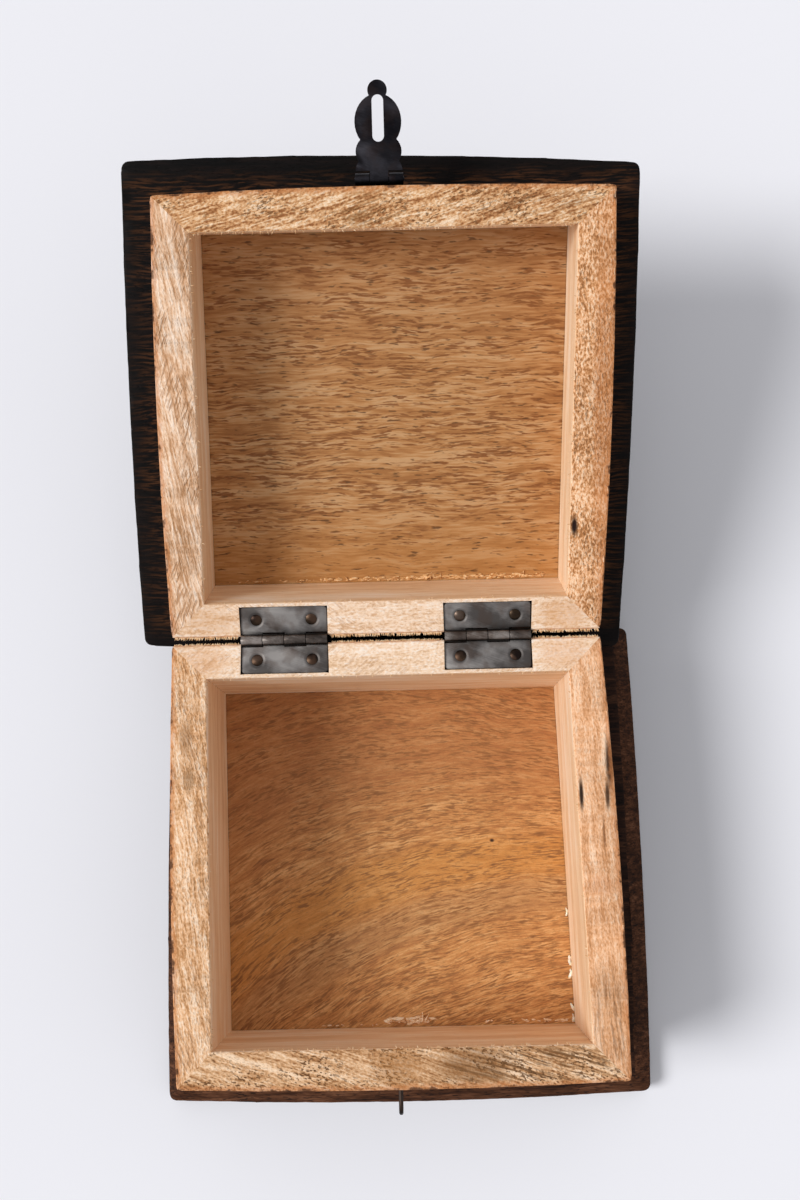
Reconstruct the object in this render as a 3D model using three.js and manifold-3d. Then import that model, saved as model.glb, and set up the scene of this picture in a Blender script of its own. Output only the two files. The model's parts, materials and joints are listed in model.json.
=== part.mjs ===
// A small hinged wooden box, standing open: a mitred tray on a bevelled base board, and a mitred
// lid frame under a bevelled lid board, with two butt hinges at the back and a hasp and staple in front.
// Millimetres, +Z up. The origin is the middle of the base board's underside; the front faces -Y.

import * as THREE from 'three';
import { mergeVertices } from 'three/addons/utils/BufferGeometryUtils.js';
import Module from 'manifold-3d';

const wasm = await Module();
wasm.setup();

// Walls of the tray and rails of the lid. Width and depth are taken at the corners: the front and
// the two sides are sanded slightly full, so they stand out by wallBow in the middle.
const bodyWidth = 150;
const bodyDepth = 148;
const wallBow = 1.3;
const wallThickness = 12;
const boxWallHeight = 48;
const lidRailHeight = 27.5;
const bodyCornerRadius = 1.6;
const rimEase = 0.6;

// Tray and lid were glued up as one box a little out of square and then sawn apart: each millimetre
// in front of the back face runs over to the right by bodySkew.
const bodySkew = 0.02;

// Base board and lid board, cut alike, which overhang the walls. Their edges are sanded full too.
// The overhangs are those of a board glued on true. The base board lies further forward and to the
// right of its tray. The lid board is turned a little, anticlockwise as seen from above when shut.
const boardThickness = 10;
const boardSideOverhang = 13.3;
const boardFrontOverhang = 10.8;
const boardBackOverhang = 12.9;
const boardEndBow = 2;
const boardSideBow = 1.2;
const boardCornerRadius = 3.5;
const bevelWidth = 6;
const bevelDrop = 3.5;
const boardEase = 0.5;
const baseForward = 2;
const baseToRight = 4.6;
const lidBoardTurn = 0.025;

// Clearances.
const glueLine = 0.25;
const seatGap = 0.25;
const runningGap = 0.15;
const endPlay = 0.25;
const closingGap = 0.4;
const stopGap = 0.3;

// Butt hinges: each leaf is sheet steel rolled round the pin into two knuckles.
const hingeLength = 30;
const hingeSheet = 1.05;
const hingePinRadius = 0.9;
const hingeInset = 24.5;
const hingeAxisBehind = 1.2;
const mortiseLand = 1.45;
const leafCornerRadius = 1.2;
const knucklesPerHinge = 4;
const rollEndGap = 0.35;
const pinDome = 0.4;
const pinDomeShoulder = 0.7;

// Round-headed nails.
const nailHeadRadius = 1.95;
const nailHeadDome = 0.55;
const nailDomeRings = [0.75, 0.4, 0];
const nailConeDepth = 0.8;
const nailShankRadius = 0.65;
const nailPoint = 1.8;
const hingeNailLength = 9;
const hingeNailSpread = 9.6;
const haspNailSpread = 4.6;
const nailLand = 3;

// Hasp: a leaf of sheet iron with three lobes and a slot, rolled round its pin, and a fixed plate.
// Distances along the leaf are measured from the pin.
const haspSheet = 0.9;
const haspPinRadius = 0.85;
const haspAxisAboveRim = 6;
const haspWidth = 15.6;
const haspTongue = 5.9;
const haspShoulder = 2.6;
const haspPlateMargin = 5.5;
const tipLobe = { at: 26.9, halfWidth: 3.1, halfLength: 3.1 };
const bigLobe = { at: 17.4, halfWidth: 7.5, halfLength: 8.5 };
const lowLobe = { at: 8.4, halfWidth: 7.4, halfLength: 5.9 };
const flareWaist = { at: 5.1, halfWidth: 6.1 };
const flareCurl = 1;
const slotCentre = 18.5;
const slotLength = 14.3;
const slotWidth = 3.7;

// Staple: a bent wire, driven into the tray's front wall, that the hasp's slot drops over.
const wireRadius = 0.75;
const stapleReach = 10;
const stapleHeight = 8.6;
const stapleLand = 3;
const fastenerX = 1.8;

// Facets: steps along a bowed edge and round a corner, and points round an arc, a nail and a wire.
const edgeSteps = 6;
const cornerSteps = 4;
const roundSteps = 24;
const nailSteps = 16;
const lobeSteps = 36;
const wireSides = 10;
const bendSteps = 14;
const through = 5;
const weldOverlap = 1;

const rimHeight = boardThickness + glueLine + boxWallHeight;
const boardDepth = boardFrontOverhang + bodyDepth + boardBackOverhang + 2 * boardEndBow;
const frontFace = -boardDepth / 2 + boardEndBow + boardFrontOverhang + baseForward;
const backFace = frontFace + bodyDepth;
const hingeAxisY = backFace + hingeAxisBehind;
const hingeAxisZ = rimHeight + closingGap / 2;
const knuckleRadius = hingePinRadius + runningGap + hingeSheet;
const haspEyeRadius = haspPinRadius + runningGap + haspSheet;

const material = (color, roughness, metalness = 0) =>
  new THREE.MeshStandardMaterial({ color, roughness, metalness });
const rawWood = material('#ddb888', 0.75);
const stainedWood = material('#3a241a', 0.55);
const steel = material('#66625e', 0.45, 0.9);
const iron = material('#1d1c1e', 0.5, 0.8);

// Solids and geometry: three.js makes every shape, and the boolean library joins and cuts them.
function solidOf(geometry) {
  const bare = geometry.index ? geometry.toNonIndexed() : geometry.clone();
  for (const name of ['normal', 'uv']) bare.deleteAttribute(name);
  const merged = mergeVertices(bare, 1e-4);
  const index = merged.index.array;
  const triVerts = [];
  for (let i = 0; i < index.length; i += 3) {
    const [a, b, c] = index.slice(i, i + 3);
    if (a !== b && b !== c && c !== a) triVerts.push(a, b, c);
  }
  const vertProperties = merged.attributes.position.array;
  return new wasm.Manifold(
    new wasm.Mesh({ numProp: 3, vertProperties, triVerts: new Uint32Array(triVerts) }));
}

function geometryOf(solid) {
  const mesh = solid.getMesh();
  const geometry = new THREE.BufferGeometry();
  geometry.setAttribute('position', new THREE.BufferAttribute(mesh.vertProperties, 3));
  geometry.setIndex(new THREE.BufferAttribute(mesh.triVerts, 1));
  geometry.computeVertexNormals();
  return geometry;
}

const joined = (...solids) => solids.reduce((sum, part) => sum.add(part));
const cutFrom = (solid, ...cutters) => cutters.reduce((rest, cutter) => rest.subtract(cutter), solid);

function blockSolid(low, high) {
  const size = high.map((top, i) => top - low[i]);
  const centre = high.map((top, i) => (top + low[i]) / 2);
  return solidOf(new THREE.BoxGeometry(...size).translate(...centre));
}

// Extruded arcs get two points for each curve segment.
function extrudedSolid(shape, depth, arcPoints = 2 * cornerSteps) {
  const options = { depth, steps: 1, bevelEnabled: false, curveSegments: arcPoints / 2 };
  return solidOf(new THREE.ExtrudeGeometry(shape, options));
}

// A closed body lofted through outlines stacked from the lowest to the highest.
function loftedSolid(layers) {
  const count = layers[0].points.length;
  const positions = layers.flatMap(({ z, points }) => points.flatMap((p) => [p.x, p.y, z]));
  const index = [];
  for (let level = 0; level + 1 < layers.length; level++) {
    for (let i = 0; i < count; i++) {
      const a = level * count + i;
      const b = level * count + (i + 1) % count;
      index.push(a, b, b + count, a, b + count, a + count);
    }
  }
  const top = (layers.length - 1) * count;
  for (const [a, b, c] of THREE.ShapeUtils.triangulateShape(layers[0].points, [])) {
    index.push(c, b, a);
  }
  for (const [a, b, c] of THREE.ShapeUtils.triangulateShape(layers.at(-1).points, [])) {
    index.push(top + a, top + b, top + c);
  }
  const geometry = new THREE.BufferGeometry();
  geometry.setAttribute('position', new THREE.Float32BufferAttribute(positions, 3));
  geometry.setIndex(index);
  return solidOf(geometry);
}

// A rectangle whose edges bow outwards, with rounded corners, run anticlockwise.
function bowedOutline({ halfWidth, front, back, sideBow, frontBow, backBow, radius }, inset = 0) {
  const right = halfWidth - inset;
  const low = front + inset;
  const high = back - inset;
  const mid = (low + high) / 2;
  const shape = new THREE.Shape();
  shape.moveTo(-right + radius, low);
  shape.quadraticCurveTo(0, low - 2 * frontBow, right - radius, low);
  shape.quadraticCurveTo(right, low, right, low + radius);
  shape.quadraticCurveTo(right + 2 * sideBow, mid, right, high - radius);
  shape.quadraticCurveTo(right, high, right - radius, high);
  if (backBow > 0) shape.quadraticCurveTo(0, high + 2 * backBow, -right + radius, high);
  else shape.lineTo(-right + radius, high);
  shape.quadraticCurveTo(-right, high, -right, high - radius);
  shape.quadraticCurveTo(-right - 2 * sideBow, mid, -right, low + radius);
  shape.quadraticCurveTo(-right, low, -right + radius, low);
  const points = shape.getPoints(edgeSteps);
  points.pop();
  return points;
}

// Outlines, as seen from above with the box shut, measured from the front and back faces given.
const bodyOutline = (front) => ({
  halfWidth: bodyWidth / 2,
  front,
  back: front + bodyDepth,
  sideBow: wallBow,
  frontBow: wallBow,
  backBow: 0,
  radius: bodyCornerRadius,
});

const boardOutline = (front) => ({
  halfWidth: bodyWidth / 2 + boardSideOverhang,
  front: front - boardFrontOverhang,
  back: front + bodyDepth + boardBackOverhang,
  sideBow: boardSideBow,
  frontBow: boardEndBow,
  backBow: boardEndBow,
  radius: boardCornerRadius,
});

// A board with eased lower edges and a wide bevel round its upper face.
function bevelledBoard(front, z) {
  const outline = boardOutline(front);
  const layer = (height, inset) => ({ z: z + height, points: bowedOutline(outline, inset) });
  return loftedSolid([
    layer(0, boardEase),
    layer(boardEase, 0),
    layer(boardThickness - bevelDrop, 0),
    layer(boardThickness, bevelWidth),
  ]);
}

// Pushed over to the right by bodySkew for each millimetre in front of the back face.
function skewedSolid(solid, back) {
  const skew = new THREE.Matrix4().set(
    1, -bodySkew, 0, bodySkew * back,
    0, 1, 0, 0,
    0, 0, 1, 0,
    0, 0, 0, 1);
  return solidOf(geometryOf(solid).applyMatrix4(skew));
}

// One of four mitred pieces: the sanded frame, cut by a wedge whose 45 degree ends leave the glue line.
function mitredPiece(side, front, low, high, rimAtTop) {
  const outline = bodyOutline(front);
  const eased = { z: rimAtTop ? high : low, points: bowedOutline(outline, rimEase) };
  const full = [low, high].map((z) => ({ z, points: bowedOutline(outline) }));
  if (rimAtTop) full[1].z -= rimEase;
  else full[0].z += rimEase;
  const block = loftedSolid(rimAtTop ? [...full, eased] : [eased, ...full]);
  const back = front + bodyDepth;
  const halfWidth = bodyWidth / 2;
  const hollow = blockSolid(
    [-halfWidth + wallThickness, front + wallThickness, low - through],
    [halfWidth - wallThickness, back - wallThickness, high + through]);

  const inner = wallThickness + through;
  const shift = (glueLine / 2) * Math.SQRT2;
  const alongX = side === 'front' || side === 'back';
  const half = (alongX ? halfWidth : bodyDepth / 2) - shift;
  const faceDistance = alongX ? bodyDepth / 2 : halfWidth;
  const wedge = new THREE.Shape();
  wedge.moveTo(-half - through, -faceDistance - through);
  wedge.lineTo(half + through, -faceDistance - through);
  wedge.lineTo(half - inner, -faceDistance + inner);
  wedge.lineTo(-half + inner, -faceDistance + inner);
  const turn = { front: 0, right: 90, back: 180, left: 270 }[side];
  const cutter = extrudedSolid(wedge, high - low + 2 * through)
    .rotate([0, 0, turn])
    .translate([0, (front + back) / 2, low - through]);
  return skewedSolid(cutFrom(block, hollow).intersect(cutter), back);
}

// Nails: a domed head over a cone, a straight shank and a point. Grown by a clearance, the same
// profile is the countersunk hole and the pilot hole. The head's rim lies at z = 0.
function nailSolid(length, grow = 0) {
  const head = nailHeadRadius + grow;
  const shank = nailShankRadius + grow;
  const cone = nailConeDepth + grow / 2;
  const tip = length + grow;
  const top = grow > 0
    ? [new THREE.Vector2(head, through), new THREE.Vector2(0, through)]
    : nailDomeRings.map((f) => new THREE.Vector2(head * f, nailHeadDome * (1 - f * f)));
  const profile = [
    new THREE.Vector2(0, -tip),
    new THREE.Vector2(shank, -tip + nailPoint),
    new THREE.Vector2(shank, -cone),
    new THREE.Vector2(head, 0),
    ...top,
  ];
  return solidOf(new THREE.LatheGeometry(profile, nailSteps).rotateX(Math.PI / 2));
}

// A pin with slightly domed ends, lying along X.
function pinGeometry(radius, length) {
  const half = length / 2;
  const profile = [
    new THREE.Vector2(0, -half - pinDome),
    new THREE.Vector2(radius * pinDomeShoulder, -half - pinDome / 2),
    new THREE.Vector2(radius, -half),
    new THREE.Vector2(radius, half),
    new THREE.Vector2(radius * pinDomeShoulder, half + pinDome / 2),
    new THREE.Vector2(0, half + pinDome),
  ];
  const lathe = new THREE.LatheGeometry(profile, roundSteps).rotateZ(-Math.PI / 2);
  return geometryOf(solidOf(lathe));
}

// Sheet rolled round a pin that lies along X: a flat strip towards -Y, below the pin, runs into an
// eye that ends just short of the strip. It is drawn in Y and Z and spans from x = low to x = high.
function rolledEye(eyeRadius, sheet, reach, low, high) {
  const boreRadius = eyeRadius - sheet;
  const endAngle = Math.PI + Math.asin((boreRadius - rollEndGap) / eyeRadius);
  const shape = new THREE.Shape();
  shape.moveTo(-reach, -eyeRadius);
  shape.lineTo(0, -eyeRadius);
  shape.absarc(0, 0, eyeRadius, -Math.PI / 2, endAngle, false);
  shape.absarc(0, 0, boreRadius, endAngle, -Math.PI / 2, true);
  shape.lineTo(-reach, -boreRadius);
  const extruded = extrudedSolid(shape, high - low, roundSteps);
  return extruded.rotate([90, 0, 90]).translate([low, 0, 0]);
}

// Butt hinge leaf, with the pin along X at the origin and the flat part towards -Y. Turned half
// round about Y it is the other leaf, and its knuckles fill this one's gaps.
const hingeLeafReach = hingeAxisBehind + wallThickness - mortiseLand - seatGap;
const hingeLeafStart = knuckleRadius + endPlay;
const hingeNailY = -(hingeLeafStart + hingeLeafReach) / 2;
const hingeNailZ = -knuckleRadius + hingeSheet;

function plateOutline(halfWidth, near, far, radius) {
  const shape = new THREE.Shape();
  shape.moveTo(halfWidth, near);
  shape.lineTo(-halfWidth, near);
  shape.lineTo(-halfWidth, far + radius);
  shape.absarc(-halfWidth + radius, far + radius, radius, Math.PI, 1.5 * Math.PI, false);
  shape.absarc(halfWidth - radius, far + radius, radius, 1.5 * Math.PI, 2 * Math.PI, false);
  return shape;
}

function hingeLeafGeometry() {
  const outline = plateOutline(hingeLength / 2, -hingeLeafStart, -hingeLeafReach, leafCornerRadius);
  let leaf = extrudedSolid(outline, hingeSheet).translate([0, 0, -knuckleRadius]);
  const pitch = (hingeLength + endPlay) / knucklesPerHinge;
  for (let i = 1; i < knucklesPerHinge; i += 2) {
    const low = -hingeLength / 2 + i * pitch;
    const high = low + pitch - endPlay;
    leaf = leaf.add(rolledEye(knuckleRadius, hingeSheet, hingeLeafStart + weldOverlap, low, high));
  }
  const holes = [-1, 1].map((side) => nailSolid(hingeNailLength, runningGap)
    .translate([side * hingeNailSpread, hingeNailY, hingeNailZ]));
  return geometryOf(cutFrom(leaf, ...holes));
}

// What is let into the wood for one leaf: a shallow mortise, open at the back face, and two pilot
// holes. It is placed as the leaf is, from the same axis.
function hingeRecess() {
  const halfLength = hingeLength / 2 + seatGap;
  const mortise = blockSolid(
    [-halfLength, -hingeLeafReach - seatGap, -knuckleRadius - seatGap],
    [halfLength, through, through]);
  const holes = [-1, 1].map((side) => nailSolid(hingeNailLength, runningGap)
    .translate([side * hingeNailSpread, hingeNailY, hingeNailZ]));
  return joined(mortise, ...holes);
}

// Hasp leaf, with the pin along X at the origin and the leaf towards -Y.
function lobeSolid({ at, halfWidth, halfLength }) {
  const shape = new THREE.Shape();
  shape.absellipse(0, -at, halfWidth, halfLength, 0, 2 * Math.PI, false, 0);
  return extrudedSolid(shape, haspSheet, lobeSteps);
}

function slotShape() {
  const radius = slotWidth / 2;
  const straight = slotLength / 2 - radius;
  const shape = new THREE.Shape();
  shape.absarc(0, -slotCentre + straight, radius, 0, Math.PI, false);
  shape.absarc(0, -slotCentre - straight, radius, Math.PI, 2 * Math.PI, false);
  return shape;
}

function haspLeafGeometry() {
  const flare = new THREE.Shape();
  const shoulder = haspWidth / 2 - endPlay;
  const waistY = -flareWaist.at - weldOverlap;
  flare.moveTo(-shoulder, -haspShoulder);
  flare.quadraticCurveTo(-shoulder, -flareWaist.at + flareCurl, -flareWaist.halfWidth, waistY);
  flare.lineTo(flareWaist.halfWidth, waistY);
  flare.quadraticCurveTo(shoulder, -flareWaist.at + flareCurl, shoulder, -haspShoulder);
  const lobes = [tipLobe, bigLobe, lowLobe].map(lobeSolid);
  const flat = joined(extrudedSolid(flare, haspSheet), ...lobes);
  const slot = extrudedSolid(slotShape(), haspSheet + 2 * through, lobeSteps).translate([0, 0, -through]);
  const half = haspTongue / 2;
  const eye = rolledEye(haspEyeRadius, haspSheet, haspShoulder + weldOverlap, -half, half);
  return geometryOf(joined(cutFrom(flat, slot).translate([0, 0, -haspEyeRadius]), eye));
}

// Fixed hasp plate, drawn like the leaf: pin along X at the origin, plate towards -Y, below the pin.
const haspPlateReach = lidRailHeight - haspAxisAboveRim - haspPlateMargin;
const haspNailAt = (haspShoulder + haspPlateReach) / 2;
const haspNailLength = wallThickness - nailLand;

function haspNailHoles() {
  return [-1, 1].map((side) => nailSolid(haspNailLength, runningGap)
    .translate([side * haspNailSpread, -haspNailAt, haspSheet - haspEyeRadius]));
}

function haspPlateGeometry() {
  const half = haspWidth / 2;
  const outline = plateOutline(half, -haspShoulder, -haspPlateReach, leafCornerRadius);
  const plate = extrudedSolid(outline, haspSheet).translate([0, 0, -haspEyeRadius]);
  const inner = haspTongue / 2 + endPlay;
  const eyes = [[-half, -inner], [inner, half]].map(([low, high]) =>
    rolledEye(haspEyeRadius, haspSheet, haspShoulder + weldOverlap, low, high));
  return geometryOf(cutFrom(joined(plate, ...eyes), ...haspNailHoles()));
}

// Staple wire: out of the wall, round a half circle and back in. It lies in a plane of its own, with
// the wall's face at y = 0, and is symmetric about z = 0.
const stapleBend = stapleHeight / 2 - wireRadius;
const stapleStraight = stapleReach - wireRadius - stapleBend;
const stapleLeg = wallThickness - stapleLand;

class StapleCurve extends THREE.Curve {
  getPoint(t, target = new THREE.Vector3()) {
    const arm = stapleLeg + stapleStraight;
    const arc = Math.PI * stapleBend;
    const travelled = t * (2 * arm + arc);
    if (travelled < arm) return target.set(0, stapleLeg - travelled, stapleBend);
    if (travelled > arm + arc) {
      return target.set(0, travelled - arm - arc - stapleStraight, -stapleBend);
    }
    const angle = (travelled - arm) / stapleBend;
    return target.set(0, -stapleStraight - stapleBend * Math.sin(angle), stapleBend * Math.cos(angle));
  }
}

function stapleGeometry() {
  const section = new THREE.Shape();
  section.absarc(0, 0, wireRadius, 0, 2 * Math.PI, false);
  const arcShare = (Math.PI * stapleBend) / (2 * (stapleLeg + stapleStraight) + Math.PI * stapleBend);
  const steps = Math.round(bendSteps / arcShare);
  const options = { steps, extrudePath: new StapleCurve(), curveSegments: wireSides / 2 };
  return geometryOf(solidOf(new THREE.ExtrudeGeometry(section, options)));
}

function stapleHoles() {
  const radius = wireRadius + runningGap;
  const depth = stapleLeg + seatGap;
  return [-1, 1].map((side) => solidOf(
    new THREE.CylinderGeometry(radius, radius, depth + through, wireSides)
      .translate(0, (depth - through) / 2, side * stapleBend)));
}

// How far the lid opens: it stops when the back edge of the lid board meets the tray's back wall.
const lidBoardZ = closingGap / 2 + lidRailHeight + glueLine;
const lidFront = -hingeAxisBehind - bodyDepth;
const lidBoardX = lidBoardTurn * (lidFront - hingeAxisBehind) / 2;
const lidBoardBack = Math.max(...bowedOutline(boardOutline(lidFront)).map(
  (p) => p.y * Math.cos(lidBoardTurn) + p.x * Math.sin(lidBoardTurn)));

function angleAtWall(y, z) {
  const contact = Math.acos((stopGap - hingeAxisBehind) / Math.hypot(y, z));
  return Math.atan2(z, y) + contact;
}

const lidOpenAngle = Math.min(
  angleAtWall(lidBoardBack - boardEase, lidBoardZ),
  angleAtWall(lidBoardBack, lidBoardZ + boardEase));

// Assembly.
const box = new THREE.Group();
const tray = new THREE.Group();
const lid = new THREE.Group();
tray.position.x = -baseToRight;
lid.position.set(0, hingeAxisY, hingeAxisZ);
lid.rotation.x = -lidOpenAngle;
tray.add(lid);
box.add(tray);

function place(group, name, geometry, finish, position = [0, 0, 0], rotation = [0, 0, 0]) {
  const mesh = new THREE.Mesh(geometry, finish.clone());
  mesh.name = name;
  mesh.position.set(...position);
  mesh.rotation.set(...rotation);
  group.add(mesh);
}

// Base board, and the tray of four mitred walls, whose frame has x = 0 in the middle of its back.
const hingeCentre = bodyWidth / 2 - hingeInset - hingeLength / 2;
const hinges = [['left', -hingeCentre], ['right', hingeCentre]];
const sides = ['front', 'back', 'left', 'right'];
const wallLow = boardThickness + glueLine;
const stapleZ = hingeAxisZ + haspAxisAboveRim - slotCentre;

place(box, 'base_board', geometryOf(bevelledBoard(frontFace - baseForward, 0)), stainedWood);
for (const side of sides) {
  let wall = mitredPiece(side, frontFace, wallLow, rimHeight, true);
  if (side === 'back') {
    const recesses = hinges.map(([, x]) => hingeRecess().translate([x, hingeAxisY, hingeAxisZ]));
    wall = cutFrom(wall, ...recesses);
  }
  if (side === 'front') {
    const wallFace = frontFace - wallBow;
    const holes = stapleHoles().map((hole) => hole.translate([fastenerX, wallFace, stapleZ]));
    wall = cutFrom(wall, ...holes);
  }
  place(tray, `box_wall_${side}`, geometryOf(wall), rawWood);
}
place(tray, 'staple', stapleGeometry(), iron, [fastenerX, frontFace - wallBow, stapleZ]);

// Lid: bevelled board and four mitred rails. Its own frame has the hinge pins' axis as its origin.
const railLow = closingGap / 2;
const haspAxis = [fastenerX, lidFront - wallBow - seatGap - haspEyeRadius, haspAxisAboveRim];
const turnToPlate = [Math.PI / 2, 0, Math.PI];

place(lid, 'lid_board', geometryOf(bevelledBoard(lidFront, lidBoardZ)), stainedWood,
  [lidBoardX, 0, 0], [0, 0, lidBoardTurn]);
for (const side of sides) {
  let rail = mitredPiece(side, lidFront, railLow, railLow + lidRailHeight, false);
  if (side === 'back') {
    const recesses = hinges.map(([, x]) => hingeRecess().rotate([0, 180, 0]).translate([x, 0, 0]));
    rail = cutFrom(rail, ...recesses);
  }
  if (side === 'front') {
    const holes = haspNailHoles().map((hole) =>
      hole.rotate([0, 0, 180]).rotate([90, 0, 0]).translate(haspAxis));
    rail = cutFrom(rail, ...holes);
  }
  place(lid, `lid_rail_${side}`, geometryOf(rail), rawWood);
}

// Hinges. The pins stay with the tray.
for (const [side, x] of hinges) {
  const name = `hinge_${side}`;
  const leaf = hingeLeafGeometry();
  place(tray, `${name}_box_leaf`, leaf, steel, [x, hingeAxisY, hingeAxisZ]);
  place(lid, `${name}_lid_leaf`, leaf, steel, [x, 0, 0], [0, Math.PI, 0]);
  place(tray, `${name}_pin`, pinGeometry(hingePinRadius, hingeLength), steel, [x, hingeAxisY, hingeAxisZ]);
  [-1, 1].forEach((end, i) => {
    const nail = geometryOf(nailSolid(hingeNailLength));
    const nailX = x + end * hingeNailSpread;
    place(tray, `${name}_box_nail_${i + 1}`, nail, steel,
      [nailX, hingeAxisY + hingeNailY, hingeAxisZ + hingeNailZ]);
    place(lid, `${name}_lid_nail_${i + 1}`, nail, steel,
      [nailX, hingeNailY, -hingeNailZ], [0, Math.PI, 0]);
  });
}

// Hasp, standing out square to the lid rail.
place(lid, 'hasp_plate', haspPlateGeometry(), iron, haspAxis, turnToPlate);
place(lid, 'hasp_pin', pinGeometry(haspPinRadius, haspWidth), iron, haspAxis);
place(lid, 'hasp_leaf', haspLeafGeometry(), iron, haspAxis);
[-1, 1].forEach((end, i) => {
  const nailPlace = [
    haspAxis[0] + end * haspNailSpread,
    haspAxis[1] + haspEyeRadius - haspSheet,
    haspAxis[2] + haspNailAt,
  ];
  const nail = geometryOf(nailSolid(haspNailLength));
  place(lid, `hasp_nail_${i + 1}`, nail, iron, nailPlace, [Math.PI / 2, 0, 0]);
});

export default box;
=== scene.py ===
import json
import math
import random

import bmesh
import bpy
from mathutils import Euler, Matrix, Vector


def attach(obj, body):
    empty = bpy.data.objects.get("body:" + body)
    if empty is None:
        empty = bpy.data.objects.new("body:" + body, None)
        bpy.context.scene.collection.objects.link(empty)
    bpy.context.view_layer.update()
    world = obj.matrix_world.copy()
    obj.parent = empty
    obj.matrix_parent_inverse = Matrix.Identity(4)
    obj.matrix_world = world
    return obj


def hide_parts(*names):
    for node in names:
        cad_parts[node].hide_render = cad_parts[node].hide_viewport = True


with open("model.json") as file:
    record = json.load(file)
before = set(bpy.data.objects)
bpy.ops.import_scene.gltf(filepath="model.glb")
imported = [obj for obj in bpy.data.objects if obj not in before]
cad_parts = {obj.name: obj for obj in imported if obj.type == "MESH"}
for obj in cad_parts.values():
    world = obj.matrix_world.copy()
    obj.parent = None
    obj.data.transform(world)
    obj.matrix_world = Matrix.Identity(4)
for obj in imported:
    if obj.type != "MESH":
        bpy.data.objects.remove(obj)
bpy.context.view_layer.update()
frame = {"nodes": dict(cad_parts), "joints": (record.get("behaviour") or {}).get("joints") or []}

# Sizes of the box, in metres, as the CAD model has them. The lid's are as it lies when shut,
# measured from the hinge axis, and x is measured from the middle of the tray's back.
MM = 0.001
BODY_HALF = 75 * MM
CAVITY_HALF = 63 * MM
WALL_THICKNESS = 12 * MM
WALL_BOW = 1.3 * MM
SKEW = 0.02
HINGE_OUT = 35.5 * MM
LEAF_HALF = 15 * MM
BARREL_RADIUS = 2.1 * MM
# The front and back faces of the walls, outside and inside, and how high rims and floors are.
OUTSIDE = {"tray": (-73.05 * MM, 74.95 * MM), "lid": (-149.2 * MM, -1.2 * MM)}
INSIDE = {"tray": (-61.05 * MM, 62.95 * MM), "lid": (-137.2 * MM, -13.2 * MM)}
RIM = {"tray": 58.25 * MM, "lid": 0.2 * MM}
FLOOR = {"tray": 10 * MM, "lid": 27.95 * MM}
# The way from the floor to the rim, with the box shut.
UP = {"tray": 1, "lid": -1}

# What the CAD nodes of each body are called.
PART = {"tray": "box", "lid": "lid"}
WALL = {"tray": "box_wall", "lid": "lid_rail"}
HINGES = ("hinge_left", "hinge_right")

# How deep the wear of the arrises is, how large its dents, and how closely the faces are cut for it.
RIM_WEAR, RIM_GRIT, RIM_STEP = 0.5 * MM, 0.9 * MM, 0.85 * MM
BOARD_WEAR, BOARD_GRIT, BOARD_STEP = 0.3 * MM, 3 * MM, 2.4 * MM
# How far the edges of the sheet metal are rounded.
SHEET_ROUNDING, HASP_ROUNDING = 0.12 * MM, 0.14 * MM

# The middle share of an oval or a band that has its full strength.
CORE = 0.3

lid_hinge = next(j for j in frame["joints"] if j["name"] == "lid_hinge")
HINGE = Vector(lid_hinge["pos_m"])
LID_OPENING = math.radians(lid_hinge["range_deg"][1])


def unskewed(back):
    """The frames run over to the right in front of their back face, and this sets them square."""
    return Matrix(((1, SKEW, 0, -SKEW * back), (0, 1, 0, 0), (0, 0, 1, 0), (0, 0, 0, 1)))


# From the place in the open box to the box shut, and from there to the box set square.
TO_SHUT = {
    "tray": Matrix.Translation((-HINGE.x, 0, 0)),
    "lid": Matrix.Rotation(LID_OPENING, 4, "X") @ Matrix.Translation(-HINGE),
}
TO_SQUARE = {body: unskewed(OUTSIDE[body][1]) @ turn for body, turn in TO_SHUT.items()}

# All that is left to chance draws from this, so that every run gives the same box.
chance = random.Random(26)


# Materials.

def linear(colour):
    """An sRGB hex colour as the linear RGBA that a shader socket takes."""
    parts = [int(colour[i:i + 2], 16) / 255 for i in (1, 3, 5)]
    return tuple(c / 12.92 if c <= 0.04045 else ((c + 0.055) / 1.055) ** 2.4
                 for c in parts) + (1,)


def add(tree, kind, wired=None, stops=(), out=0, **settings):
    """Adds one node with its settings and links, and gives back its output.

    wired gives sockets, by name or place, their number, sRGB hex colour or other node's output.
    stops are a colour ramp's, and out is the place of the output that is given back."""
    node = tree.nodes.new("ShaderNode" + kind)
    for name, value in settings.items():
        setattr(node, name, value)
    for socket, value in (wired or {}).items():
        if isinstance(value, bpy.types.NodeSocket):
            tree.links.new(value, node.inputs[socket])
        else:
            node.inputs[socket].default_value = linear(value) if isinstance(value, str) else value
    for number, (place, colour) in enumerate(stops):
        ramp = node.color_ramp.elements
        element = ramp[number] if number < len(ramp) else ramp.new(1)
        element.position, element.color = place, linear(colour)
    return node.outputs[out] if len(node.outputs) else None


def blank(name):
    """A new material and its node tree, emptied."""
    material = bpy.data.materials.new(name)
    material.use_nodes = True
    material.node_tree.nodes.clear()
    return material, material.node_tree


def coated(tree, colour, roughness, height, depth, **sockets):
    """The surface itself, with a relief of the given depth in millimetres."""
    add(tree, "OutputMaterial", {"Surface": add(tree, "BsdfPrincipled", {
        "Base Color": colour,
        "Roughness": roughness,
        "Normal": add(tree, "Bump", {"Height": height, "Distance": depth * MM}),
        **sockets})})


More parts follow.
